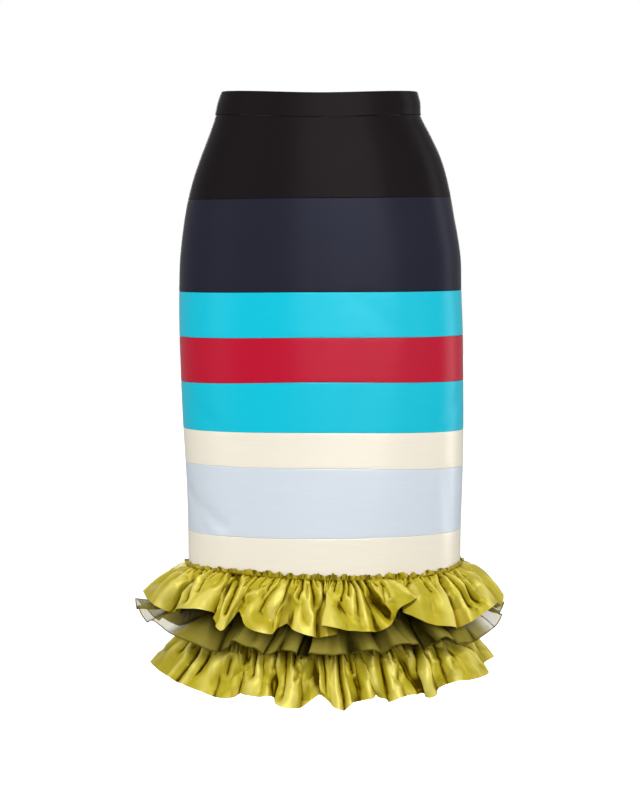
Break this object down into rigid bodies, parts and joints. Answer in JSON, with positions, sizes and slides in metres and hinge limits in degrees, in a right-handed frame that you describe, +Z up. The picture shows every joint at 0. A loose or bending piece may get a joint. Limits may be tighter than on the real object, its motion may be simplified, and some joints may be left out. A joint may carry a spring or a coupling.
{
  "type": "midi skirt",
  "caption": "High-waisted pencil midi skirt in colour-blocked satin bands with gathered taffeta and organza ruffles at the hem, worn form.",
  "frame": {"origin": "centre of the waist opening, at half the height of the waistband, where the wearer's waist holds the skirt", "axes": "+Z up along the skirt's length, -Y out of the front, +X to the right seen from the front"},
  "size_m": [0.4833, 0.323, 0.7795],
  "materials": {
    "black": "smooth duchesse satin, soft sheen",
    "navy": "smooth duchesse satin, soft sheen",
    "turquoise": "smooth duchesse satin, soft sheen",
    "red": "smooth duchesse satin, soft sheen",
    "cream": "smooth duchesse satin, soft sheen",
    "pale_blue": "smooth duchesse satin, soft sheen",
    "chartreuse": "crisp shot taffeta, bright crease highlights",
    "olive": "sheer silk organza, matte",
    "zip_black": "black lacquered metal"
  },
  "bodies": {
    "skirt": {"waistband_front": "black", "waistband_back_right": "black", "waistband_back_left": "black", "band_black_front": "black", "band_black_back_right": "black", "band_black_back_left": "black", "band_navy_front": "navy", "band_navy_back_right": "navy", "band_navy_back_left": "navy", "band_turquoise_upper_front": "turquoise", "band_turquoise_upper_back_right": "turquoise", "band_turquoise_upper_back_left": "turquoise", "band_red_front": "red", "band_red_back_right": "red", "band_red_back_left": "red", "band_turquoise_lower_front": "turquoise", "band_turquoise_lower_back_right": "turquoise", "band_turquoise_lower_back_left": "turquoise", "band_cream_upper_front": "cream", "band_cream_upper_back_right": "cream", "band_cream_upper_back_left": "cream", "band_pale_blue_front": "pale_blue", "band_pale_blue_back_right": "pale_blue", "band_pale_blue_back_left": "pale_blue", "band_cream_lower_front": "cream", "band_cream_lower_back_right": "cream", "band_cream_lower_back_left": "cream", "ruffle_top_front": "chartreuse", "ruffle_top_back": "chartreuse", "ruffle_middle_front": "olive", "ruffle_middle_back": "olive", "ruffle_bottom_front": "chartreuse", "ruffle_bottom_back": "chartreuse", "zip_tape": "black", "zip_slider": "zip_black"},
    "pull": {"zip_pull": "zip_black"}
  },
  "joints": [
    {"name": "pull_swing", "type": "hinge", "parent": "skirt", "child": "pull", "pos_m": [0, 0.09557, 0.00542], "axis": [1, 0, 0], "range_deg": [0, 150]}
  ]
}
